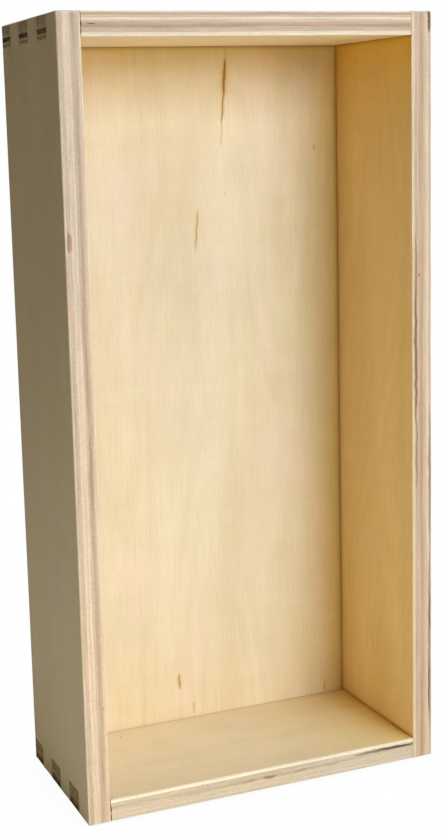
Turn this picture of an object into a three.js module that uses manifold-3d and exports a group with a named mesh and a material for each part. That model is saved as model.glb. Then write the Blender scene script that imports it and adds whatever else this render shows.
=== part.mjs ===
// An open-faced plywood apple box, standing on one of its short ends.
// Four boards are finger-jointed at the corners, and a back panel is let into a rebate around them.
// Units are millimetres. +Z is up, the open face looks along -Y, and the origin is the centre of the
// face that the box stands on.

import * as THREE from 'three';
import { mergeVertices } from 'three/addons/utils/BufferGeometryUtils.js';
import Module from 'manifold-3d';

const wasm = await Module();
wasm.setup();

// Driving dimensions
const boxHeight = 508; // along Z, the length of the side boards
const boxWidth = 254; // along X, over the outer faces of the side boards
const boxDepth = 117; // along Y, from the open rim to the back face
const sideThickness = 15;
const endThickness = 15;
const panelThickness = 15;
const rebateDepth = 7; // how far the panel is let into each wall
const fingerRows = 6; // rows across the depth of each corner, taken in turn by the two boards
const glueLine = 0.2; // gap that the glue fills between two faces

// Sizes that follow from them
const rowDepth = boxDepth / fingerRows;
const rimY = -boxDepth / 2;
const backY = boxDepth / 2;
const panelY = backY - panelThickness; // the face of the panel that shows inside the box
const overcut = 5; // how far a cutter runs past the face that it opens

// Rows are counted from the open rim. The side boards have the even rows, so that they run the full
// height at the rim, and the end boards have the odd ones.
const sideRows = [...Array(fingerRows).keys()].filter((row) => row % 2 === 0);
const endRows = [...Array(fingerRows).keys()].filter((row) => row % 2 === 1);

// A closed geometry as a solid that can be cut.
function toSolid(geometry) {
	const bare = geometry.clone();
	bare.deleteAttribute('normal');
	bare.deleteAttribute('uv');
	const merged = mergeVertices(bare);
	const vertProperties = new Float32Array(merged.attributes.position.array);
	const triVerts = new Uint32Array(merged.index.array);
	return new wasm.Manifold(new wasm.Mesh({ numProp: 3, vertProperties, triVerts }));
}

// A solid as a geometry with flat-shaded faces.
function toGeometry(solid) {
	const { vertProperties, triVerts } = solid.getMesh();
	const shared = new THREE.BufferGeometry();
	shared.setAttribute('position', new THREE.BufferAttribute(vertProperties, 3));
	shared.setIndex(new THREE.BufferAttribute(triVerts, 1));
	const geometry = shared.toNonIndexed();
	geometry.computeVertexNormals();
	return geometry;
}

// A block between two corners.
function block(low, high) {
	const box = new THREE.Box3(new THREE.Vector3(...low), new THREE.Vector3(...high));
	const size = box.getSize(new THREE.Vector3());
	const centre = box.getCenter(new THREE.Vector3());
	return new THREE.BoxGeometry(size.x, size.y, size.z).translate(centre.x, centre.y, centre.z);
}

// One long edge of a notched board, from the rim to the back. It runs at `tip` along the board's own
// rows and drops to `shoulder` along the others, which are a glue line wider for the other board.
function fingerEdge(ownRows, tip, shoulder) {
	const points = [];
	for (let row = 0; row < fingerRows; row++) {
		const own = ownRows.includes(row);
		const shrink = own ? glueLine / 2 : -glueLine / 2;
		const start = row === 0 ? rimY : rimY + row * rowDepth + shrink;
		const end = row === fingerRows - 1 ? backY : rimY + (row + 1) * rowDepth - shrink;
		const level = own ? tip : shoulder;
		points.push(new THREE.Vector2(start, level), new THREE.Vector2(end, level));
	}
	return points;
}

// A flat board with fingers along both of its jointed edges. The outline has the box's depth across
// and `span` along, and `notch` is how deep the gaps between the fingers are.
function notchedBoard(ownRows, span, notch, thickness) {
	const lowEdge = fingerEdge(ownRows, 0, notch);
	const highEdge = fingerEdge(ownRows, span, span - notch).reverse();
	const outline = new THREE.Shape([...lowEdge, ...highEdge]);
	return new THREE.ExtrudeGeometry(outline, { depth: thickness, bevelEnabled: false });
}

// The rebate that the panel lies in, as the block that is cut out of all four walls.
function rebateBlock() {
	const halfWidth = boxWidth / 2 - sideThickness + rebateDepth;
	return block(
		[-halfWidth, panelY - glueLine, endThickness - rebateDepth],
		[halfWidth, backY + overcut, boxHeight - endThickness + rebateDepth]
	);
}

// A side board: the outline stands on its end, and `x` is its face nearer to -X.
function sideBoard(x) {
	const geometry = notchedBoard(sideRows, boxHeight, endThickness + glueLine, sideThickness);
	const axes = new THREE.Matrix4().makeBasis(
		new THREE.Vector3(0, 1, 0),
		new THREE.Vector3(0, 0, 1),
		new THREE.Vector3(1, 0, 0)
	);
	geometry.applyMatrix4(axes).translate(x, 0, 0);
	return toGeometry(toSolid(geometry).subtract(toSolid(rebateBlock())));
}

// An end board: the outline lies flat, and `z` is its lower face.
function endBoard(z) {
	const geometry = notchedBoard(endRows, boxWidth, sideThickness + glueLine, endThickness);
	const axes = new THREE.Matrix4().makeBasis(
		new THREE.Vector3(0, 1, 0),
		new THREE.Vector3(-1, 0, 0),
		new THREE.Vector3(0, 0, 1)
	);
	geometry.applyMatrix4(axes).translate(boxWidth / 2, 0, z);
	return toGeometry(toSolid(geometry).subtract(toSolid(rebateBlock())));
}

// The back panel, a glue line smaller than its rebate all round and flush with the back of the walls.
function backPanel() {
	const halfWidth = boxWidth / 2 - sideThickness + rebateDepth - glueLine;
	const inset = endThickness - rebateDepth + glueLine;
	return block([-halfWidth, panelY, inset], [halfWidth, backY, boxHeight - inset]);
}

const appleBox = new THREE.Group();

function addBoard(name, geometry, color, roughness) {
	const mesh = new THREE.Mesh(geometry, new THREE.MeshStandardMaterial({ color, roughness, metalness: 0 }));
	mesh.name = name;
	appleBox.add(mesh);
}

addBoard('left_side', sideBoard(-boxWidth / 2), 0xdcc69e, 0.6);
addBoard('right_side', sideBoard(boxWidth / 2 - sideThickness), 0xdec292, 0.6);
addBoard('top_end', endBoard(boxHeight - endThickness), 0xe0c79c, 0.6);
addBoard('bottom_end', endBoard(0), 0xe4cda6, 0.6);
addBoard('back_panel', backPanel(), 0xefd9b4, 0.55);

export default appleBox;
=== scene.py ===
import math

import bmesh
import bpy
from mathutils import Matrix, Vector, noise


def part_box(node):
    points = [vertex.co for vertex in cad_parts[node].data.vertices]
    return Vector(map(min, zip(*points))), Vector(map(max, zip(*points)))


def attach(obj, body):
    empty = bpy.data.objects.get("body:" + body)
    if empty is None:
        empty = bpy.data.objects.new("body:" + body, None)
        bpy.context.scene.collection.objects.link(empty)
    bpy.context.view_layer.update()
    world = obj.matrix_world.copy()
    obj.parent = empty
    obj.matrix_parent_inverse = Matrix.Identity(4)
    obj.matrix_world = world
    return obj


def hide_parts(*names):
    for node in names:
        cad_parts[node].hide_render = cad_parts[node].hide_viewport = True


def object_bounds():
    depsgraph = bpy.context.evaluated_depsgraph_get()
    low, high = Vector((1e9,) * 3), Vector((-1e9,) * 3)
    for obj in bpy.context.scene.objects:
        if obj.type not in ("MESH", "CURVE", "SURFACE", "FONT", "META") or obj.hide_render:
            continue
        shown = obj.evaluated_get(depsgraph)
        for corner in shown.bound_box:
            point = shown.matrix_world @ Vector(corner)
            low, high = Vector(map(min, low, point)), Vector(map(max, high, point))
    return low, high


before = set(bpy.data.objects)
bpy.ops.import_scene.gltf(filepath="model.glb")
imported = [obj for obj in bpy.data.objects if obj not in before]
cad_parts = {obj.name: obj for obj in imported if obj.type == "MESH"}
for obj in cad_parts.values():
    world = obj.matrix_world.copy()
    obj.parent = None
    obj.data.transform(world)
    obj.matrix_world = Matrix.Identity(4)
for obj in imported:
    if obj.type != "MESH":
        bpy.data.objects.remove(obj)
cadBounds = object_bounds()
boxLow, boxHigh = cadBounds
boxCentre = (boxLow + boxHigh) / 2
mm = 0.001
print("frame loaded, box", [round((h - l) / mm, 1) for l, h in zip(boxLow, boxHigh)], "mm")


# small helpers for building node trees

def addNode(tree, kind, **settings):
    node = tree.nodes.new(kind)
    for key, value in settings.items():
        setattr(node, key, value)
    return node


def feed(tree, socket, value):
    # links a socket, or sets a plain value
    if isinstance(value, bpy.types.NodeSocket):
        tree.links.new(value, socket)
    elif value is not None:
        socket.default_value = value


def vectorMath(tree, operation, a, b=None):
    node = addNode(tree, "ShaderNodeVectorMath", operation=operation)
    feed(tree, node.inputs[0], a)
    feed(tree, node.inputs[1], b)
    return node.outputs["Value" if operation in ("DOT_PRODUCT", "LENGTH") else "Vector"]


def scaled(tree, vector, factor):
    node = addNode(tree, "ShaderNodeVectorMath", operation="SCALE")
    feed(tree, node.inputs[0], vector)
    feed(tree, node.inputs["Scale"], factor)
    return node.outputs["Vector"]


def mathNode(tree, operation, a, b=None, c=None, clamp=False):
    node = addNode(tree, "ShaderNodeMath", operation=operation, use_clamp=clamp)
    for socket, value in zip(node.inputs, (a, b, c)):
        feed(tree, socket, value)
    return node.outputs["Value"]


def weightedSum(tree, start, *terms):
    # start plus each value times its weight
    total = start
    for value, weight in terms:
        total = mathNode(tree, "MULTIPLY_ADD", value, weight, total)
    return total


def separated(tree, vector):
    node = addNode(tree, "ShaderNodeSeparateXYZ")
    feed(tree, node.inputs[0], vector)
    return [node.outputs[axis] for axis in "XYZ"]


def combined(tree, x, y, z):
    node = addNode(tree, "ShaderNodeCombineXYZ")
    for socket, value in zip(node.inputs, (x, y, z)):
        feed(tree, socket, value)
    return node.outputs["Vector"]


def softStep(tree, value, start, end, low=0.0, high=1.0):
    # low before start, high after end, smooth between
    node = addNode(tree, "ShaderNodeMapRange", interpolation_type="SMOOTHSTEP")
    for name, number in (("Value", value), ("From Min", start), ("From Max", end),
                         ("To Min", low), ("To Max", high)):
        feed(tree, node.inputs[name], number)
    return node.outputs["Result"]


def mixColour(tree, factor, a, b, blend="MIX"):
    node = addNode(tree, "ShaderNodeMix", data_type="RGBA", blend_type=blend)
    for index, value in ((0, factor), (6, a), (7, b)):
        feed(tree, node.inputs[index], (*value, 1) if isinstance(value, tuple) else value)
    return node.outputs[2]


def noiseField(tree, vector, stretch, seed, detail=2.0, roughness=0.5):
    # noise around 0 whose lumps are about stretch long on each axis
    place = vectorMath(tree, "ADD", vectorMath(tree, "DIVIDE", vector, stretch),
                       scaled(tree, (1.3, 1.7, 2.3), seed))
    node = addNode(tree, "ShaderNodeTexNoise")
    for name, value in (("Vector", place), ("Scale", 1.0), ("Detail", detail), ("Roughness", roughness)):
        feed(tree, node.inputs[name], value)
    return mathNode(tree, "SUBTRACT", node.outputs["Fac"], 0.5)


def newGroup(name, inputs, outputs):
    tree = bpy.data.node_groups.new(name, "ShaderNodeTree")
    for socketName, kind, value in inputs:
        socket = tree.interface.new_socket(socketName, in_out="INPUT", socket_type="NodeSocket" + kind)
        if value is not None:
            socket.default_value = value
    for socketName in outputs:
        tree.interface.new_socket(socketName, in_out="OUTPUT", socket_type="NodeSocketFloat")
    return tree, addNode(tree, "NodeGroupInput").outputs, addNode(tree, "NodeGroupOutput").inputs


def placeGroup(tree, group, **values):
    # a group in a material; a keyword is an input's name without its spaces
    node = addNode(tree, "ShaderNodeGroup", node_tree=group)
    for socket in node.inputs:
        feed(tree, socket, values.get(socket.name.replace(" ", "")))
    return node.outputs


# birch grain on a veneer face: place is (along, across, depth) in millimetres

def makeBirchGrain():
    tree, given, result = newGroup(
        "birchGrain",
        [("Vector", "Vector", None), ("Seed", "Float", 0.0), ("Figure", "Float", 1.0),
         ("Fibre", "Float", 1.0), ("Pores", "Float", 1.0)],
        ["Tone", "Blush", "Pore", "Height"])
    place, seed = given["Vector"], given["Seed"]
    bands = noiseField(tree, place, (240, 30, 60), seed, 3)
    slow = noiseField(tree, place, (330, 75, 90), mathNode(tree, "ADD", seed, 3.1), 1)
    flames = mathNode(tree, "SINE", mathNode(tree, "MULTIPLY", slow, 75))  # nested cathedral outlines
    ripple = noiseField(tree, place, (11, 38, 60), mathNode(tree, "ADD", seed, 5.7), 2)
    figure = weightedSum(tree, 0.0, (bands, 1.5), (flames, 0.075), (ripple, 0.42))
    strands = noiseField(tree, place, (38, 1.5, 1.5), mathNode(tree, "ADD", seed, 8.3), 4, 0.6)
    threads = noiseField(tree, place, (9, 0.35, 0.35), mathNode(tree, "ADD", seed, 9.9), 2, 0.5)
    fibre = weightedSum(tree, 0.0, (strands, 0.75), (threads, 0.45))
    dashes = noiseField(tree, place, (3.4, 0.3, 0.3), mathNode(tree, "ADD", seed, 12.4), 1)
    pore = mathNode(tree, "MULTIPLY", softStep(tree, dashes, 0.15, 0.24), given["Pores"])
    tone = weightedSum(tree, 0.5, (figure, given["Figure"]), (fibre, given["Fibre"]))
    feed(tree, result["Tone"], mathNode(tree, "ADD", tone, 0.0, clamp=True))
    blush = noiseField(tree, place, (70, 34, 60), mathNode(tree, "ADD", seed, 15.2), 2)
    feed(tree, result["Blush"], softStep(tree, blush, 0.0, 0.22))
    feed(tree, result["Pore"], pore)
    feed(tree, result["Height"], weightedSum(tree, 0.5, (fibre, 0.6), (pore, -0.5)))
    return tree


# sawn and sanded ply edges: speckled ends of fibres, fine layers, thin glue lines

def makeEdgeGrain():
    tree, given, result = newGroup(
        "edgeGrain",
        [("Vector", "Vector", None), ("Seed", "Float", 0.0), ("Face Ply", "Float", 1.0),
         ("Core Ply", "Float", 1.45)],
        ["Speckle", "Drift", "Glue", "Height"])
    place, seed = given["Vector"], given["Seed"]
    dots = noiseField(tree, place, (1.3, 1.3, 0.6), seed, 3, 0.65)
    layers = noiseField(tree, place, (18, 18, 0.45), mathNode(tree, "ADD", seed, 2.3), 3)
    speckle = weightedSum(tree, 0.0, (dots, 1.2), (layers, 1.1))
    feed(tree, result["Speckle"], speckle)
    drift = noiseField(tree, place, (70, 70, 1.7), mathNode(tree, "ADD", seed, 4.9), 2)
    feed(tree, result["Drift"], drift)
    depth = separated(tree, place)[2]
    belowFace = mathNode(tree, "SUBTRACT", depth, given["Face Ply"])
    core = mathNode(tree, "DIVIDE", belowFace, given["Core Ply"])
    toLine = mathNode(tree, "PINGPONG", core, 0.5)  # 0 on a glue line, 0.5 in the middle of a ply
    feed(tree, result["Glue"], softStep(tree, toLine, 0.03, 0.1, 1.0, 0.0))
    feed(tree, result["Height"], weightedSum(tree, 0.5, (dots, 0.8), (layers, 0.6)))
    return tree


# a mineral streak or pin knot: a thin tapering line from one point of a face to another

def makeMineralStreak():
    tree, given, result = newGroup(
        "mineralStreak",
        [("Vector", "Vector", None), ("From", "Vector", None), ("To", "Vector", None),
         ("Width", "Float", 1.0), ("Ragged", "Float", 1.0)],
        ["Core", "Halo"])
    flat = vectorMath(tree, "MULTIPLY", given["Vector"], (1, 1, 0))
    run = vectorMath(tree, "SUBTRACT", given["To"], given["From"])
    offset = vectorMath(tree, "SUBTRACT", flat, given["From"])
    share = mathNode(tree, "DIVIDE", vectorMath(tree, "DOT_PRODUCT", offset, run),
                     vectorMath(tree, "DOT_PRODUCT", run, run), clamp=True)
    aside = vectorMath(tree, "LENGTH", vectorMath(tree, "SUBTRACT", offset, scaled(tree, run, share)))
    fromMiddle = mathNode(tree, "ABSOLUTE", mathNode(tree, "MULTIPLY_ADD", share, 2.0, -1.0))
    taper = mathNode(tree, "SUBTRACT", 1.05, mathNode(tree, "POWER", fromMiddle, 3.0))
    width = mathNode(tree, "MULTIPLY", given["Width"], taper)
    aside = mathNode(tree, "MULTIPLY", aside, given["Ragged"])
    solid = mathNode(tree, "MULTIPLY", width, 0.15)
    halo = mathNode(tree, "MULTIPLY", width, 3.4)
    feed(tree, result["Core"], softStep(tree, aside, solid, width, 1.0, 0.0))
    feed(tree, result["Halo"], softStep(tree, aside, 0.0, halo, 1.0, 0.0))
    return tree


def edgeDistances(tree, place, low, high):
    # how far a point inside a box is from its nearest face, and from its nearest edge line
    toLow = vectorMath(tree, "SUBTRACT", place, low)
    toHigh = vectorMath(tree, "SUBTRACT", high, place)
    x, y, z = separated(tree, vectorMath(tree, "MINIMUM", toLow, toHigh))
    smaller = mathNode(tree, "MINIMUM", x, y)
    larger = mathNode(tree, "MAXIMUM", x, y)
    middle = mathNode(tree, "MAXIMUM", smaller, mathNode(tree, "MINIMUM", larger, z))
    return mathNode(tree, "MINIMUM", smaller, z), middle


# handling along the outer arrises of the box: place is in metres

def makeArrisWear():
    tree, given, result = newGroup(
        "arrisWear",
        [("Vector", "Vector", None), ("Low Corner", "Vector", None), ("High Corner", "Vector", None),
         ("Reach", "Float", 0.002), ("Seed", "Float", 0.0)],
        ["Mask"])
    toEdge = edgeDistances(tree, given["Vector"], given["Low Corner"], given["High Corner"])[1]
    patchy = noiseField(tree, given["Vector"], (0.02, 0.02, 0.02), given["Seed"], 3, 0.6)
    reach = mathNode(tree, "MULTIPLY", given["Reach"], weightedSum(tree, 1.0, (patchy, 2.4)))
    feed(tree, result["Mask"], softStep(tree, toEdge, 0.0, reach, 1.0, 0.0))
    return tree


# a mask for the painted shade in the inside corners of the box: place is in metres

def makeInsideCorner():
    tree, given, result = newGroup(
        "insideCorner",
        [("Vector", "Vector", None), ("Low Corner", "Vector", None), ("High Corner", "Vector", None),
         ("Reach", "Float", 0.02)],
        ["Mask"])
    toWall, toEdge = edgeDistances(tree, given["Vector"], given["Low Corner"], given["High Corner"])
    away = mathNode(tree, "DIVIDE", toEdge, given["Reach"])
    fade = mathNode(tree, "EXPONENT", mathNode(tree, "MULTIPLY", away, -1.0))
    wallSlack = 0.6 * mm  # the walls themselves count as inside
    inside = mathNode(tree, "GREATER_THAN", toWall, -wallSlack)
    feed(tree, result["Mask"], mathNode(tree, "MULTIPLY", fade, inside, clamp=True))
    return tree


# faint smudges and scuffs: place is in metres

def makeSmudges():
    tree, given, result = newGroup(
        "smudges",
        [("Vector", "Vector", None), ("Seed", "Float", 0.0), ("Size", "Float", 0.05)],
        ["Mask", "Scuff"])
    size = combined(tree, given["Size"], given["Size"], given["Size"])
    cloud = noiseField(tree, given["Vector"], size, given["Seed"], 4, 0.6)
    feed(tree, result["Mask"], softStep(tree, cloud, -0.05, 0.3))
    scuff = noiseField(tree, given["Vector"], (0.004, 0.03, 0.012), given["Seed"], 3, 0.7)
    feed(tree, result["Scuff"], softStep(tree, scuff, 0.1, 0.3))
    return tree


birchGrain = makeBirchGrain()
edgeGrain = makeEdgeGrain()
mineralStreak = makeMineralStreak()
arrisWear = makeArrisWear()
smudges = makeSmudges()
insideCorner = makeInsideCorner()
print("shader groups ready")

# the hollow of the box, which has no wall at the rim
farOff = 1  # metres
cavityLow = Vector((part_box("left_side")[1].x, boxLow.y - farOff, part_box("bottom_end")[1].z))
cavityHigh = Vector((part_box("right_side")[0].x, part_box("back_panel")[0].y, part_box("top_end")[0].z))



def cornerShadeTint(strength, reach, openLow=(0, 0, 0), openHigh=(0, 0, 0)):
    # painted shade along the inside corners; a 1 for x, y or z leaves out the wall on that side of the
    # hollow
    return {
        "strength": strength, "reach": reach,
        "openLow": Vector(openLow) * farOff, "openHigh": Vector(openHigh) * farOff,
    }


# what all the plywood shares: colours are linear
plywood = {
    "facePly": 1.0, "corePly": 1.45,        # mm
    "streakColour": (0.36, 0.135, 0.004),
    "haloColour": (0.72, 0.42, 0.12),
    "faceHalo": 0.65, "rimHalo": 0.1,       # how strong the halo of a streak is, and of a rim stain
    "poreColour": (0.38, 0.22, 0.09), "poreShare": 0.2,
    "blushColour": (0.90, 0.64, 0.42),
    "pinkPly": (0.70, 0.43, 0.27), "pinkShare": 0.28,
    "patchShare": 0.5,                      # how far a torn patch covers an end ply
    "plyWander": 0.9,                       # how much the plies bend, in mm
    "plyShade": 0.88,
    "glowColour": (0.95, 0.77, 0.17),       # painted shade: golden darkening in the sheltered inside corners, where the boards shade each other
    # painted shade in the very corner, partly a glue line: a thin dark line where the boards meet
    "seamColour": (0.42, 0.24, 0.05),
    "smudgeColour": (0.52, 0.42, 0.30), "smudgeSize": 0.06,  # metres
    "wornColour": (0.86, 0.76, 0.58),
    "roughness": 0.52, "gloss": 0.14,       # bare sanded wood
    "reliefDepth": 0.12 * mm, "reliefStrength": 0.6,
}


def boardCoordinates(tree, board, place):
    # a position as (along the grain, across it, depth below the outer face) in millimetres
    low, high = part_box(board["node"])
    along, across, depth = board["axes"]
    outward = 1 if (low + high)[depth] / 2 > boxCentre[depth] else -1
    skin = (high if outward > 0 else low)[depth]
    parts = separated(tree, place)
    below = mathNode(tree, "MULTIPLY_ADD", parts[depth], -outward / mm, skin * outward / mm)
    return combined(tree, mathNode(tree, "MULTIPLY", parts[along], 1 / mm),
                    mathNode(tree, "MULTIPLY", parts[across], 1 / mm), below)


def plyColours(tree, board, depth, tones, dark, light):
    # the colour of the ply at a depth, with a soft edge between one ply and the next
    plies = [plywood["facePly"]] + [plywood["corePly"]] * (len(tones) - 2)
    plies.append(board["thickness"] - sum(plies))
    node = addNode(tree, "ShaderNodeValToRGB")
    feed(tree, node.inputs["Fac"], mathNode(tree, "DIVIDE", depth, board["thickness"]))
    stops = node.color_ramp.elements
    top = 0
    for index, (ply, tone) in enumerate(zip(plies, tones)):
        colour = [d + (l - d) * tone for d, l in zip(dark, light)]
        for share in (0.12, 0.88):
            place = (top + ply * share) / board["thickness"]
            isFirst = index == 0 and share < 0.5
            stop = stops[0] if isFirst else stops.new(place)  # a new ramp already has one at each end
            stop.position = place
            stop.color = (*colour, 1)
        top += ply
    stops.remove(stops[len(stops) - 1])
    return node.outputs["Color"]


def mark(start, end, width, strength, colour=plywood["streakColour"]):
    # a streak or stain between two points, all in mm
    return {"from": start, "to": end, "width": width, "strength": strength, "colour": colour}


def addStreaks(tree, colour, place, streaks, seed, haloShare):
    # lays each streak of a list over a colour; they share one wandering, ragged field
    sway = noiseField(tree, place, (9, 60, 60), seed + 30, 2)
    swayed = vectorMath(tree, "ADD", place, combined(tree, 0, mathNode(tree, "MULTIPLY", sway, 2.0), 0))
    ragged = weightedSum(tree, 1.0, (noiseField(tree, place, (2.5, 0.5, 2), seed + 31, 2), 1.2))
    for streak in streaks:
        marks = placeGroup(tree, mineralStreak, Vector=swayed, From=(*streak["from"], 0),
                           To=(*streak["to"], 0), Width=streak["width"], Ragged=ragged)
        halo = mathNode(tree, "MULTIPLY", marks["Halo"], streak["strength"] * haloShare)
        core = mathNode(tree, "MULTIPLY", marks["Core"], streak["strength"])
        colour = mixColour(tree, halo, colour, plywood["haloColour"])
        colour = mixColour(tree, core, colour, streak["colour"])
    return colour


def plywoodMaterial(board):
    material = bpy.data.materials.new(board["node"] + "_birchPlywood")
    material.use_nodes = True
    tree = material.node_tree
    shader = tree.nodes["Principled BSDF"]
    texture = addNode(tree, "ShaderNodeTexCoord")
    position = texture.outputs["Object"]
    normal = vectorMath(tree, "ABSOLUTE", texture.outputs["Normal"])
    place = boardCoordinates(tree, board, position)
    facing = [separated(tree, normal)[axis] for axis in board["axes"]]
    seed = board["seed"]

    grain = placeGroup(tree, birchGrain, Vector=place, Seed=seed, Figure=board["figure"],
                       Fibre=board["fibre"], Pores=board["pores"])
    pale, deep = board["veneer"]
    face = mixColour(tree, grain["Tone"], deep, pale)
    blush = mathNode(tree, "MULTIPLY", grain["Blush"], board["blush"])
    face = mixColour(tree, blush, face, plywood["blushColour"])
    pore = mathNode(tree, "MULTIPLY", grain["Pore"], plywood["poreShare"])
    face = mixColour(tree, pore, face, plywood["poreColour"])
    along, across, depth = separated(tree, place)
    if board["streaks"]:
        streaked = addStreaks(tree, face, place, board["streaks"], seed, plywood["faceHalo"])
        innerHalf = mathNode(tree, "GREATER_THAN", depth, board["thickness"] / 2)
        face = mixColour(tree, innerHalf, face, streaked)

    # the plies, seen from the long edges and from the ends
    sway = noiseField(tree, place, (80, 80, 40), seed + 20, 2)
    warped = mathNode(tree, "MULTIPLY_ADD", sway, plywood["plyWander"], depth)
    edge = placeGroup(tree, edgeGrain, Vector=combined(tree, along, across, warped), Seed=seed,
                      FacePly=plywood["facePly"], CorePly=plywood["corePly"])
    rim = plyColours(tree, board, warped, board["rimTones"], *board["rimColours"])
    end = plyColours(tree, board, warped, board["endTones"], *board["endColours"])
    torn = noiseField(tree, place, (5, 3.0, 1.8), seed + 40, 2, 0.6)
    patches = (softStep(tree, torn, 0.03, 0.1), softStep(tree, torn, -0.03, -0.1))
    for patch, colour in zip(patches, board["endPatches"]):
        cover = mathNode(tree, "MULTIPLY", patch, plywood["patchShare"])
        end = mixColour(tree, cover, end, colour)
    onEnd = softStep(tree, facing[0], 0.45, 0.75)
    plies = mixColour(tree, onEnd, rim, end)
    shade = weightedSum(tree, plywood["plyShade"], (edge["Speckle"], 0.52), (edge["Drift"], 0.42),
                        (grain["Height"], 0.24), (edge["Glue"], -0.07))
    plies = mixColour(tree, 1.0, plies, combined(tree, shade, shade, shade), "MULTIPLY")
    pink = softStep(tree, edge["Drift"], 0.0, 0.2, 0.0, plywood["pinkShare"])
    plies = mixColour(tree, pink, plies, plywood["pinkPly"])
    if board["rimStains"]:
        onRim = combined(tree, along, depth, 0)
        stained = addStreaks(tree, plies, onRim, board["rimStains"], seed, plywood["rimHalo"])
        atRim = softStep(tree, across, boxLow.y / mm + 2, boxLow.y / mm + 3, 1.0, 0.0)
        plies = mixColour(tree, atRim, plies, stained)

    # painted shade in the inside corners: a wide golden shade where the boards shade each other, and a
    # thin dark line that is partly a glue line
    for effect in ("glow", "seam"):
        tint = board[effect]
        corner = placeGroup(tree, insideCorner, Vector=position, LowCorner=cavityLow - tint["openLow"],
                            HighCorner=cavityHigh + tint["openHigh"], Reach=tint["reach"])
        strength = mathNode(tree, "MULTIPLY", corner["Mask"], tint["strength"])
        face = mixColour(tree, strength, face, plywood[effect + "Colour"], "MULTIPLY")

    onFace = softStep(tree, facing[2], 0.45, 0.8)
    colour = mixColour(tree, onFace, plies, face)
    wear = placeGroup(tree, arrisWear, Vector=position, LowCorner=boxLow, HighCorner=boxHigh,
                      Reach=board["wearReach"], Seed=seed)
    worn = mathNode(tree, "MULTIPLY", wear["Mask"], board["wear"])
    colour = mixColour(tree, worn, colour, plywood["wornColour"])
    dirt = placeGroup(tree, smudges, Vector=position, Seed=seed, Size=plywood["smudgeSize"])
    dirty = mathNode(tree, "MULTIPLY", dirt["Mask"], board["smudge"])
    colour = mixColour(tree, dirty, colour, plywood["smudgeColour"])
    feed(tree, shader.inputs["Base Color"], colour)

    roughness = weightedSum(tree, plywood["roughness"], (grain["Tone"], 0.1), (dirt["Scuff"], 0.08),
                            (wear["Mask"], -0.06))
    feed(tree, shader.inputs["Roughness"], roughness)
    shader.inputs["Specular IOR Level"].default_value = plywood["gloss"]
    relief = mathNode(tree, "MULTIPLY", grain["Height"], onFace)
    offFace = mathNode(tree, "SUBTRACT", 1.0, onFace)
    relief = mathNode(tree, "MULTIPLY_ADD", edge["Height"], offFace, relief)
    bump = addNode(tree, "ShaderNodeBump")
    bump.inputs["Strength"].default_value = plywood["reliefStrength"]
    bump.inputs["Distance"].default_value = plywood["reliefDepth"]
    feed(tree, bump.inputs["Height"], relief)
    feed(tree, shader.inputs["Normal"], bump.outputs["Normal"])
    return material


# Geometry Nodes: a board whose two ends are cut in rows, with a rebate for the back panel

joinery = {
    "rows": 6,             # rows across the depth of each corner
    "glueLine": 0.2 * mm,  # gap left between two glued boards
    "overcut": 4 * mm,     # how far a cutter runs past the face it opens
}


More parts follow.
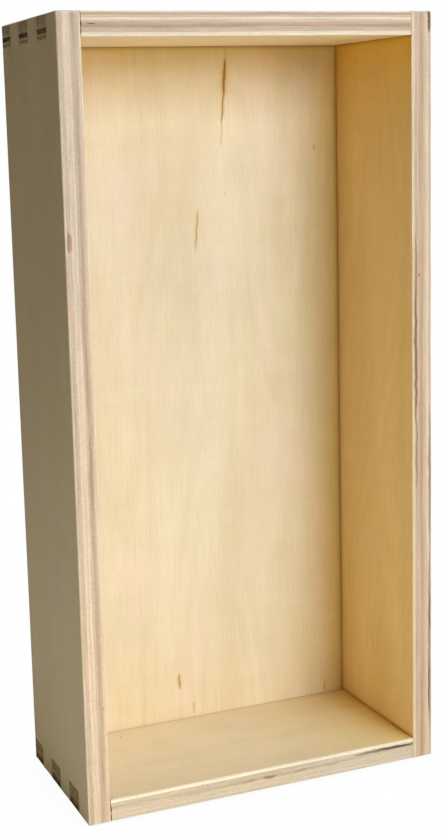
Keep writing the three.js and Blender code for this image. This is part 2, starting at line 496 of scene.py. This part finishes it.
def makeBoardTree():
    tree = bpy.data.node_groups.new("jointedBoard", "GeometryNodeTree")
    sockets = [
        ("Low Corner", "NodeSocketVector"), ("High Corner", "NodeSocketVector"),
        ("End Axis", "NodeSocketVector"), ("Notch", "NodeSocketFloat"),
        ("Rows", "NodeSocketInt"), ("First Gap", "NodeSocketInt"),
        ("Glue Line", "NodeSocketFloat"), ("Overcut", "NodeSocketFloat"),
        ("Rebate Low", "NodeSocketVector"), ("Rebate High", "NodeSocketVector"),
        ("Material", "NodeSocketMaterial"),
    ]
    for name, kind in sockets:
        tree.interface.new_socket(name, in_out="INPUT", socket_type=kind)
    tree.interface.new_socket("Geometry", in_out="OUTPUT", socket_type="NodeSocketGeometry")
    given = addNode(tree, "NodeGroupInput").outputs
    result = addNode(tree, "NodeGroupOutput")

    def block(low, high):
        size = vectorMath(tree, "SUBTRACT", high, low)
        centre = scaled(tree, vectorMath(tree, "ADD", high, low), 0.5)
        cube = addNode(tree, "GeometryNodeMeshCube")
        feed(tree, cube.inputs["Size"], size)
        place = addNode(tree, "GeometryNodeTransform")
        feed(tree, place.inputs["Geometry"], cube.outputs["Mesh"])
        feed(tree, place.inputs["Translation"], centre)
        return place.outputs["Geometry"], size, centre

    blank, size, centre = block(given["Low Corner"], given["High Corner"])

    # one cutter: a row wide with its glue line, through the thickness, centred on the board's end
    depth = separated(tree, size)[1]
    lowest = separated(tree, given["Low Corner"])[1]
    rowDepth = mathNode(tree, "DIVIDE", depth, given["Rows"])
    rowAxis = (0, 1, 0)
    faceAxis = vectorMath(tree, "SUBTRACT", (1, 0, 1), given["End Axis"])
    through = mathNode(tree, "MULTIPLY", given["Overcut"], 2)
    cutSize = vectorMath(tree, "MULTIPLY", size, faceAxis)
    for axis, length in ((faceAxis, through),
                         (given["End Axis"], mathNode(tree, "MULTIPLY", given["Notch"], 2)),
                         (rowAxis, mathNode(tree, "ADD", rowDepth, given["Glue Line"]))):
        cutSize = vectorMath(tree, "ADD", cutSize, scaled(tree, axis, length))
    cutter = addNode(tree, "GeometryNodeMeshCube")
    feed(tree, cutter.inputs["Size"], cutSize)

    # every second row at both ends
    rowCentre = mathNode(tree, "ADD", given["First Gap"], 0.5)
    firstRow = scaled(tree, rowAxis, mathNode(tree, "MULTIPLY_ADD", rowCentre, rowDepth, lowest))
    step = scaled(tree, rowAxis, mathNode(tree, "MULTIPLY", rowDepth, 2))
    count = mathNode(tree, "DIVIDE", given["Rows"], 2)
    middle = vectorMath(tree, "MULTIPLY", centre, faceAxis)
    gaps = addNode(tree, "GeometryNodeJoinGeometry")
    for corner in ("Low Corner", "High Corner"):
        endPlace = vectorMath(tree, "MULTIPLY", given[corner], given["End Axis"])
        start = vectorMath(tree, "ADD", vectorMath(tree, "ADD", middle, endPlace), firstRow)
        line = addNode(tree, "GeometryNodeMeshLine", mode="OFFSET")
        feed(tree, line.inputs["Count"], count)
        feed(tree, line.inputs["Start Location"], start)
        feed(tree, line.inputs["Offset"], step)
        feed(tree, gaps.inputs["Geometry"], line.outputs["Mesh"])
    cutters = addNode(tree, "GeometryNodeInstanceOnPoints")
    feed(tree, cutters.inputs["Points"], gaps.outputs["Geometry"])
    feed(tree, cutters.inputs["Instance"], cutter.outputs["Mesh"])
    realCutters = addNode(tree, "GeometryNodeRealizeInstances")
    feed(tree, realCutters.inputs["Geometry"], cutters.outputs["Instances"])

    rebate = block(given["Rebate Low"], given["Rebate High"])[0]
    board = blank
    for tool in (realCutters.outputs["Geometry"], rebate):
        cut = addNode(tree, "GeometryNodeMeshBoolean", operation="DIFFERENCE", solver="EXACT")
        feed(tree, cut.inputs["Mesh 1"], board)
        feed(tree, cut.inputs["Mesh 2"], tool)
        board = cut.outputs["Mesh"]

    realize = addNode(tree, "GeometryNodeRealizeInstances")
    feed(tree, realize.inputs["Geometry"], board)
    paint = addNode(tree, "GeometryNodeSetMaterial")
    feed(tree, paint.inputs["Geometry"], realize.outputs["Geometry"])
    feed(tree, paint.inputs["Material"], given["Material"])
    feed(tree, result.inputs["Geometry"], paint.outputs["Geometry"])
    return tree


def setInputs(modifier, values):
    for item in modifier.node_group.interface.items_tree:
        if item.item_type == "SOCKET" and item.in_out == "INPUT":
            modifier[item.identifier] = values[item.name]


def newObject(name, data):
    piece = bpy.data.objects.new(name, data)
    bpy.context.scene.collection.objects.link(piece)
    return piece


def takeEvaluated(piece):
    # the piece's mesh with its modifiers worked in, and no modifiers left
    graph = bpy.context.evaluated_depsgraph_get()
    mesh = bpy.data.meshes.new_from_object(piece.evaluated_get(graph))
    piece.modifiers.clear()
    piece.data = mesh
    mesh.name = piece.name


panelLow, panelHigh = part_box("back_panel")
rebateLow = panelLow - Vector((1, 1, 1)) * joinery["glueLine"]
rebateHigh = panelHigh + Vector((joinery["glueLine"], joinery["overcut"], joinery["glueLine"]))
boardTree = makeBoardTree()
print("board tree ready")


def jointedBoard(board):
    low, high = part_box(board["node"])
    upright = board["axes"][0] == 2
    otherLow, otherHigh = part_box("top_end" if upright else "left_side")
    piece = newObject(board["name"], bpy.data.meshes.new(board["name"]))
    modifier = piece.modifiers.new("jointedBoard", "NODES")
    modifier.node_group = boardTree
    setInputs(modifier, {
        "Low Corner": low, "High Corner": high,
        "End Axis": Vector((0, 0, 1)) if upright else Vector((1, 0, 0)),
        "Notch": min(otherHigh - otherLow) + joinery["glueLine"],
        "Rows": joinery["rows"], "First Gap": board["firstGap"],
        "Glue Line": joinery["glueLine"], "Overcut": joinery["overcut"],
        "Rebate Low": rebateLow, "Rebate High": rebateHigh,
        "Material": plywoodMaterial(board),
    })
    takeEvaluated(piece)
    return piece


def panelBoard(board):
    low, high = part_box(board["node"])
    mesh = bpy.data.meshes.new(board["name"])
    shape = bmesh.new()
    bmesh.ops.create_cube(shape, size=1)
    place = Matrix.Translation((low + high) / 2) @ Matrix.Diagonal((*(high - low), 1))
    bmesh.ops.transform(shape, matrix=place, verts=shape.verts)
    shape.to_mesh(mesh)
    shape.free()
    mesh.materials.append(plywoodMaterial(board))
    return newObject(board["name"], mesh)


# sanded and slightly worn edges

arris = {
    "outer": 0.9 * mm,     # round-over along the outside of the box
    "rim": 0.5 * mm,       # lighter one round the inside of the open rim
    "joint": 0.12 * mm,    # barely broken edge where two boards meet
    "segments": 3,
    "pitch": 7 * mm,       # spacing of the cuts that let an arris wander
    "wander": 0.16 * mm,   # how unevenly the arrises were sanded
}


def outerPlanes(point, slack):
    # how many of the box's outer faces a point lies on
    return sum(min(abs(point[a] - boxLow[a]), abs(point[a] - boxHigh[a])) < slack for a in range(3))


def easeEdges(piece):
    # gives each sharp edge the round-over that its place on the box would have had from sanding
    mesh = piece.data
    shape = bmesh.new()
    shape.from_mesh(mesh)
    bmesh.ops.dissolve_limit(shape, angle_limit=math.radians(1), verts=shape.verts, edges=shape.edges)
    weight = shape.edges.layers.float.new("bevel_weight_edge")
    slack = 0.02 * mm
    rimX = abs(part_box("left_side")[1].x)
    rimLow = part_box("bottom_end")[1].z
    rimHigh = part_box("top_end")[0].z
    for edge in shape.edges:
        if len(edge.link_faces) != 2 or edge.calc_face_angle(0) < math.radians(30) or not edge.is_convex:
            continue
        middle = (edge.verts[0].co + edge.verts[1].co) / 2
        planes = outerPlanes(middle, slack)
        onRim = abs(middle.y - boxLow.y) < slack
        besideOpening = abs(abs(middle.x) - rimX) < slack
        overOpening = min(abs(middle.z - z) for z in (rimLow, rimHigh)) < slack
        if planes >= 2:
            edge[weight] = 1
        elif onRim and (besideOpening or overOpening):
            edge[weight] = arris["rim"] / arris["outer"]
        elif planes == 1:
            edge[weight] = arris["joint"] / arris["outer"]
    shape.to_mesh(mesh)
    shape.free()
    bevel = piece.modifiers.new("arris", "BEVEL")
    bevel.limit_method = "WEIGHT"
    bevel.width = arris["outer"]
    bevel.segments = arris["segments"]
    bevel.use_clamp_overlap = False
    takeEvaluated(piece)


def sliceAlong(shape, axis, low, high):
    steps = max(2, round((high - low) / arris["pitch"]))
    normal = Vector((0, 0, 0))
    normal[axis] = 1
    for i in range(1, steps):
        place = Vector((0, 0, 0))
        place[axis] = low + (high - low) * i / steps
        bmesh.ops.bisect_plane(shape, geom=shape.verts[:] + shape.edges[:] + shape.faces[:],
                               plane_co=place, plane_no=normal, dist=1e-6)


def roughenArrises(piece, board):
    # pushes the rounded outer edges in and out a little along their length, never outwards
    low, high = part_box(board["node"])
    seed = board["seed"]
    shape = bmesh.new()
    shape.from_mesh(piece.data)
    longAxis = max(range(3), key=lambda a: (high - low)[a])
    sliceAlong(shape, longAxis, low[longAxis], high[longAxis])
    sliceAlong(shape, 1, low.y, high.y)
    reach = arris["outer"] * 1.05
    for vert in shape.verts:
        gap = [min(vert.co[a] - boxLow[a], boxHigh[a] - vert.co[a]) for a in range(3)]
        near = [a for a in range(3) if gap[a] < reach]
        if len(near) < 2:
            continue
        slow = noise.noise(vert.co / (30 * mm) + Vector((seed, 0, 0)))
        fast = noise.noise(vert.co / (6 * mm) + Vector((0, seed, 0)))
        push = arris["wander"] * max(0, 0.5 + 0.9 * slow + 0.5 * fast)
        for a in near:
            if gap[a] > 1e-6:
                inward = 1 if vert.co[a] < boxCentre[a] else -1
                vert.co[a] += inward * push
    shape.to_mesh(piece.data)
    shape.free()


# short gaps in the plies: torn wood inside, coloured dark both for its own tone and as painted shade in
# the hollow

gapWood = {
    "name": "tornPlyShade",
    "colours": ((0.075, 0.034, 0.012), (0.30, 0.165, 0.07)),
    "fibre": 0.7 * mm,
    "lumps": 0.35,         # how uneven a gap is, as a share of its size
    "roughness": 0.85,
}


def gapMaterial():
    material = bpy.data.materials.new(gapWood["name"])
    material.use_nodes = True
    tree = material.node_tree
    shader = tree.nodes["Principled BSDF"]
    place = addNode(tree, "ShaderNodeTexCoord").outputs["Object"]
    torn = noiseField(tree, place, (gapWood["fibre"],) * 3, 3.0, 3, 0.6)
    dark, light = gapWood["colours"]
    colour = mixColour(tree, softStep(tree, torn, -0.15, 0.2), dark, light)
    feed(tree, shader.inputs["Base Color"], colour)
    shader.inputs["Roughness"].default_value = gapWood["roughness"]
    shader.inputs["Specular IOR Level"].default_value = plywood["gloss"]
    bump = addNode(tree, "ShaderNodeBump")
    bump.inputs["Distance"].default_value = gapWood["fibre"]
    feed(tree, bump.inputs["Height"], torn)
    feed(tree, shader.inputs["Normal"], bump.outputs["Normal"])
    return material


tornPlyShade = gapMaterial()


def voidCutter(board):
    shape = bmesh.new()
    for centre, half in board["voids"]:
        ball = bmesh.ops.create_icosphere(shape, subdivisions=3, radius=1)
        place = Matrix.Translation(Vector(centre) * mm) @ Matrix.Diagonal((*(Vector(half) * mm), 1))
        for vert in ball["verts"]:
            lump = noise.noise(vert.co * 2.5 + Vector(centre) * 0.1)
            vert.co *= 1 + gapWood["lumps"] * lump
        bmesh.ops.transform(shape, matrix=place, verts=ball["verts"])
    mesh = bpy.data.meshes.new("voids")
    shape.to_mesh(mesh)
    shape.free()
    mesh.materials.append(tornPlyShade)
    return newObject("voids", mesh)


def cutVoids(piece, board):
    if not board["voids"]:
        return
    cutter = voidCutter(board)
    cut = piece.modifiers.new("voids", "BOOLEAN")
    cut.object = cutter
    cut.operation = "DIFFERENCE"
    cut.solver = "EXACT"
    cut.material_mode = "TRANSFER"
    takeEvaluated(piece)
    bpy.data.objects.remove(cutter)


def finishBoard(piece, board):
    easeEdges(piece)
    roughenArrises(piece, board)
    cutVoids(piece, board)
    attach(piece, "root")
    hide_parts(board["node"])
    print(board["name"], len(piece.data.polygons), "faces")


# In each board below, "axes" are the grain, the width and the thickness (0 is x, 1 is y, 2 is z), and
# "firstGap" is the first row, counted from the rim, that the other board's finger fills.
# Tones go from the outer face inwards, 0 for the dark colour and 1 for the light one, and
# "endPatches" are the darker and lighter patches torn out of the end plies.
# Streaks run on the inner face from one (along, across) point to another, and rim stains from one
# (along, depth) point to another, in mm. Each void is a centre and half sizes in mm.
# "glow" and "seam" are the wide and the thin painted shade along the inside corners; the thin one is
# partly a glue line.

# ends that no stain has reached
plainEnd = {
    "endTones": (0.5, 0.85, 0.45, 0.9, 0.4, 0.8, 0.4, 0.85, 0.5, 0.8, 0.5),
    "endColours": ((0.34, 0.23, 0.13), (0.74, 0.59, 0.39)),
    "endPatches": ((0.26, 0.16, 0.08), (0.80, 0.64, 0.42)),
}

leftSide = {
    "name": "left_side_board", "node": "left_side", "slot": "side_plywood",
    "axes": (2, 1, 0), "thickness": 15, "firstGap": 1, "seed": 11.0,
    "veneer": ((0.85, 0.61, 0.33), (0.76, 0.52, 0.26)),
    "figure": 0.8, "fibre": 0.8, "pores": 0.7, "blush": 0.1,
    "rimTones": (0.95, 0.3, 0.42, 0.8, 0.75, 0.85, 0.4, 0.1, 0.25, 0.65, 0.95),
    "rimColours": ((0.515, 0.31, 0.16), (0.83, 0.59, 0.35)),
    **plainEnd,
    "streaks": [],
    "rimStains": [
        mark((379, 2.1), (366, 2.5), 1.5, 0.95, (0.34, 0.18, 0.10)),
        mark((377, 3.5), (366, 3.7), 1.3, 0.8, (0.44, 0.25, 0.14)),
        mark((256, 10.7), (205, 10.5), 1.5, 0.55, (0.38, 0.22, 0.10)),
        mark((335, 9.6), (262, 10.4), 1.8, 0.5, (0.46, 0.27, 0.14)),
        mark((78, 12.6), (77, 12.9), 0.7, 0.8),
        mark((76.5, 12.2), (76, 12.4), 0.6, 0.7),
    ],
    "glow": cornerShadeTint(0.3, 14 * mm, (1, 0, 1)), "seam": cornerShadeTint(0.5, 1.2 * mm),
    "wear": 0.35, "wearReach": 1.6 * mm, "smudge": 0.12,
    "voids": [],
}
finishBoard(jointedBoard(leftSide), leftSide)

rightSide = {
    "name": "right_side_board", "node": "right_side", "slot": "side_plywood",
    "axes": (2, 1, 0), "thickness": 15, "firstGap": 1, "seed": 23.0,
    # deeper and more golden than the other boards' veneer: partly the board's own tone, partly painted
    # shade for its shaded inner face
    "veneer": ((0.88, 0.63, 0.26), (0.78, 0.53, 0.195)),
    "figure": 1.1, "fibre": 1.7, "pores": 1.0, "blush": 0.08,
    "rimTones": (0.6, 0.5, 0.95, 0.7, 0.45, 0.15, 0.25, 0.55, 0.3, 0.8, 1.0),
    "rimColours": ((0.49, 0.28, 0.14), (0.81, 0.55, 0.30)),
    **plainEnd,
    "streaks": [],
    "rimStains": [
        mark((514, 1.9), (494, 2.1), 1.9, 1.0, (0.17, 0.095, 0.055)),
        mark((250, 1.5), (150, 1.7), 1.4, 0.75, (0.25, 0.17, 0.11)),
        mark((155, 1.8), (20, 2.3), 1.2, 0.75, (0.24, 0.15, 0.09)),
        mark((366, 11.9), (300, 12.3), 1.5, 0.85, (0.34, 0.18, 0.08)),
        mark((330, 12.3), (236, 12.2), 1.8, 1.0, (0.28, 0.145, 0.06)),
        mark((244, 11.9), (192, 11.5), 1.4, 0.8, (0.34, 0.18, 0.08)),
        mark((339, 9.7), (337, 9.7), 1.3, 0.9, (0.24, 0.11, 0.04)),
        mark((362, 8), (325, 9), 4.0, 0.3, (0.58, 0.33, 0.16)),
    ],
    "glow": cornerShadeTint(0.9, 45 * mm, (1, 0, 1), (0, 1, 0)), "seam": cornerShadeTint(0.7, 1.3 * mm),
    "wear": 0.25, "wearReach": 1.4 * mm, "smudge": 0.12,
    "voids": [
        ((124.9, -58.5, 104.0), (0.30, 0.8, 14.0)),
        ((124.7, -58.5, 49.0), (0.40, 0.8, 20.0)),
    ],
}
finishBoard(jointedBoard(rightSide), rightSide)

topEnd = {
    "name": "top_end_board", "node": "top_end", "slot": "end_plywood",
    "axes": (0, 1, 2), "thickness": 15, "firstGap": 0, "seed": 37.0,
    "veneer": ((0.95, 0.76, 0.45), (0.88, 0.66, 0.36)),
    "figure": 0.9, "fibre": 0.9, "pores": 0.8, "blush": 0.1,
    "rimTones": (0.7, 0.1, 0.42, 0.85, 0.42, 0.17, 0.04, 0.25, 0.36, 0.8, 1.0),
    "rimColours": ((0.52, 0.30, 0.15), (0.93, 0.68, 0.40)),
    "endTones": (0.7, 0.66, 0.66, 0.7, 0.8, 0.85, 0.0, 0.0, 0.95, 0.5, 0.9),
    "endColours": ((0.04, 0.016, 0.003), (0.80, 0.54, 0.26)),
    "endPatches": ((0.19, 0.09, 0.025), (0.60, 0.36, 0.16)),
    "streaks": [],
    "rimStains": [],
    "glow": cornerShadeTint(0.45, 50 * mm, (1, 0, 1), (0, 1, 0)), "seam": cornerShadeTint(0.3, 1.0 * mm),
    "wear": 0.35, "wearReach": 1.6 * mm, "smudge": 0.1,
    "voids": [
        ((-111.8, -58.5, 500.4), (0.45, 1.6, 1.7)),
        ((-111.8, -58.5, 495.8), (0.4, 1.6, 1.2)),
        ((-105.5, -58.5, 500.4), (2.6, 0.7, 0.25)),
    ],
}
finishBoard(jointedBoard(topEnd), topEnd)

bottomEnd = {
    "name": "bottom_end_board", "node": "bottom_end", "slot": "end_plywood",
    "axes": (0, 1, 2), "thickness": 15, "firstGap": 0, "seed": 41.0,
    "veneer": ((0.91, 0.72, 0.43), (0.83, 0.62, 0.335)),
    "figure": 1.1, "fibre": 1.4, "pores": 1.0, "blush": 0.2,
    "rimTones": (0.5, 0.42, 0.46, 0.42, 0.45, 0.38, 0.3, 0.38, 0.36, 1.0, 0.75),
    "rimColours": ((0.485, 0.30, 0.15), (0.97, 0.79, 0.49)),
    # the lowest plies of the finger ends are near black: painted contact shade along the floor
    "endTones": (0.0, 0.0, 0.02, 0.1, 0.4, 0.62, 0.5, 0.3, 0.5, 0.55, 0.0),
    "endColours": ((0.07, 0.028, 0.004), (0.80, 0.50, 0.21)),
    "endPatches": ((0.16, 0.07, 0.012), (0.62, 0.38, 0.15)),
    "streaks": [
        mark((-72.2, 31.7), (-71.0, 31.7), 1.1, 0.75),
    ],
    "rimStains": [
        mark((-45, 8.3), (64, 8.4), 1.6, 0.4, (0.47, 0.30, 0.17)),
        mark((-20, 8.1), (-8, 8.1), 1.0, 0.6, (0.38, 0.22, 0.12)),
        mark((-4, 8.1), (6, 8.1), 1.5, 0.95, (0.40, 0.17, 0.05)),
        mark((19, 7.9), (29, 8.4), 0.8, 0.6, (0.34, 0.19, 0.09)),
        mark((42, 8.5), (54, 8.4), 1.0, 0.4, (0.40, 0.24, 0.12)),
        mark((64, 11), (120, 11), 1.5, 0.85, (0.22, 0.12, 0.05)),
    ],
    "glow": cornerShadeTint(0.8, 32 * mm, (1, 0, 0), (0, 1, 0)), "seam": cornerShadeTint(0.5, 1.5 * mm),
    "wear": 0.3, "wearReach": 1.4 * mm, "smudge": 0.15,
    "voids": [
        ((97.0, -58.5, 11.0), (15.0, 0.8, 0.5)),
        ((-111.7, -58.5, 3.3), (0.4, 1.6, 1.3)),
        ((-111.7, -58.5, 8.5), (0.4, 1.6, 1.9)),
    ],
}
finishBoard(jointedBoard(bottomEnd), bottomEnd)

backPanel = {
    "name": "back_panel_board", "node": "back_panel", "slot": "panel_plywood",
    "axes": (2, 0, 1), "thickness": 15, "seed": 53.0,
    "veneer": ((0.875, 0.68, 0.385), (0.775, 0.57, 0.29)),
    "figure": 1.2, "fibre": 1.4, "pores": 1.0, "blush": 0.42,
    "rimTones": (0.8, 0.2, 0.6, 0.3, 0.8, 0.2, 0.7, 0.3, 0.8, 0.2, 0.8),
    "rimColours": ((0.50, 0.375, 0.245), (0.84, 0.69, 0.48)),
    **plainEnd,
    "streaks": [
        mark((492, 26.9), (482, 25.9), 1.0, 0.35, (0.60, 0.33, 0.06)),
        mark((485, 26.0), (457, 24.6), 1.6, 1.0),
        mark((462, 24.9), (441, 22.2), 0.9, 0.8),
        mark((445, 22.4), (425, 21.6), 0.7, 0.3),
        mark((384, 2.9), (354, 0.6), 0.8, 0.6),
        mark((394, 23.6), (391.5, 22.9), 0.9, 0.25),
        mark((425, 94.1), (420, 94.1), 0.8, 0.4),
        mark((50, -21.4), (37, -21.0), 1.0, 0.7),
        mark((27, -10.5), (17, -10.5), 0.6, 0.4),
        mark((24, 96.8), (15, 96.8), 0.7, 0.5),
    ],
    "rimStains": [],
    "glow": cornerShadeTint(0.75, 18 * mm, (1, 0, 1)), "seam": cornerShadeTint(0.75, 1.5 * mm, (1, 0, 1)),
    "wear": 0.2, "wearReach": 1.2 * mm, "smudge": 0.12,
    "voids": [],
}
finishBoard(panelBoard(backPanel), backPanel)
print("boards ready")


# floor, light and camera

studio = {
    # name, degrees right of the open face, degrees up, distance, size, watts, colour
    "lights": [
        ("keyLight", 12, 22, 2.0, 0.7, 28.8, (0.57, 0.71, 1.0)),
        ("keyWing", 28, 8, 2.0, 0.7, 12.0, (0.71, 0.78, 1.0)),
        ("highLight", 45, 65, 2.0, 0.7, 15.0, (0.62, 0.83, 1.0)),
        ("lowBounce", -25, -30, 0.437, 0.153, 0.46, (0.93, 0.86, 0.62)),
        ("leftFill", -80, -7, 2.0, 0.7, 4.95, (1.0, 0.9, 0.55)),
        ("lowLeft", -80, -30, 0.437, 0.153, 0.06, (0.3, 0.85, 1.0)),
        ("rightFill", 105, 8, 0.9, 0.3, 1.9, (1.0, 0.88, 0.95)),
        ("backLight", 176, 8, 0.9, 0.3, 3.6, (1.0, 0.97, 0.95)),
        ("backLeft", -140, 12, 2.0, 0.7, 0.9, (0.8, 1.0, 0.95)),
        ("topLight", 178, 75, 0.62, 0.3, 1.0, (1.0, 0.82, 0.76)),
    ],
    "backdrop": (1.0, 1.0, 1.0),
    "floorTone": 0.85,
    "contactShade": 0.97,   # how bright the floor stays right beside the box
    "contactReach": 0.05,   # metres
}


def softLight(name, turn, rise, distance, size, power, colour):
    data = bpy.data.lights.new(name, "AREA")
    data.shape = "SQUARE"
    data.size = size
    data.energy = power
    data.color = colour
    lamp = newObject(name, data)
    turn, rise = math.radians(turn), math.radians(rise)
    away = Vector((math.sin(turn) * math.cos(rise), -math.cos(turn) * math.cos(rise), math.sin(rise)))
    lamp.location = boxCentre + away * distance
    lamp.rotation_euler = away.to_track_quat("Z", "Y").to_euler()
    lamp.visible_camera = False


def makeFloor():
    # matt white paper; the camera sees it evenly lit, with a little shade where the box stands
    mesh = bpy.data.meshes.new("floor")
    half = 30
    corners = [(-half, -half, 0), (half, -half, 0), (half, half, 0), (-half, half, 0)]
    mesh.from_pydata(corners, [], [(0, 1, 2, 3)])
    floor = newObject("floor", mesh)
    material = bpy.data.materials.new("floorPaper")
    material.use_nodes = True
    tree = material.node_tree
    shader = tree.nodes["Principled BSDF"]
    tone = studio["floorTone"]
    shader.inputs["Base Color"].default_value = (tone, tone, tone, 1)
    shader.inputs["Roughness"].default_value = 0.9
    nearby = addNode(tree, "ShaderNodeAmbientOcclusion")
    nearby.inputs["Distance"].default_value = studio["contactReach"]
    glow = addNode(tree, "ShaderNodeEmission")
    feed(tree, glow.inputs["Strength"], softStep(tree, nearby.outputs["AO"], 0.4, 0.95,
                                                 studio["contactShade"], 1.0))
    seen = addNode(tree, "ShaderNodeLightPath")
    mix = addNode(tree, "ShaderNodeMixShader")
    feed(tree, mix.inputs["Fac"], seen.outputs["Is Camera Ray"])
    feed(tree, mix.inputs[1], shader.outputs["BSDF"])
    feed(tree, mix.inputs[2], glow.outputs["Emission"])
    feed(tree, tree.nodes["Material Output"].inputs["Surface"], mix.outputs["Shader"])
    mesh.materials.append(material)


def makeWorld():
    # white to the camera, and no light of its own
    world = bpy.data.worlds.new("studio")
    bpy.context.scene.world = world
    world.use_nodes = True
    tree = world.node_tree
    backdrop = tree.nodes["Background"]
    backdrop.inputs["Color"].default_value = (*studio["backdrop"], 1)
    seen = addNode(tree, "ShaderNodeLightPath")
    feed(tree, backdrop.inputs["Strength"], seen.outputs["Is Camera Ray"])


camera = {
    "place": Vector((-0.3943, -0.8919, 0.4352)),
    "turn": 21.50, "tilt": 9.41, "roll": -1.76,  # degrees: to the right, down, and leaning clockwise
    "lens": 62.58, "shift": (0.0695, -0.0528),
}


def makeCamera():
    data = bpy.data.cameras.new("camera")
    data.lens = camera["lens"]
    data.sensor_width = 36
    data.shift_x, data.shift_y = camera["shift"]
    data.clip_start = 0.02
    data.clip_end = 100
    eye = newObject("camera", data)
    turn = Matrix.Rotation(math.radians(-camera["turn"]), 4, "Z")
    tilt = Matrix.Rotation(math.radians(90 - camera["tilt"]), 4, "X")
    roll = Matrix.Rotation(math.radians(camera["roll"]), 4, "Z")
    eye.matrix_world = Matrix.Translation(camera["place"]) @ turn @ tilt @ roll
    bpy.context.scene.camera = eye


makeFloor()
makeWorld()
for light in studio["lights"]:
    softLight(*light)
makeCamera()
bpy.context.scene.view_settings.view_transform = "Standard"
print("studio ready")
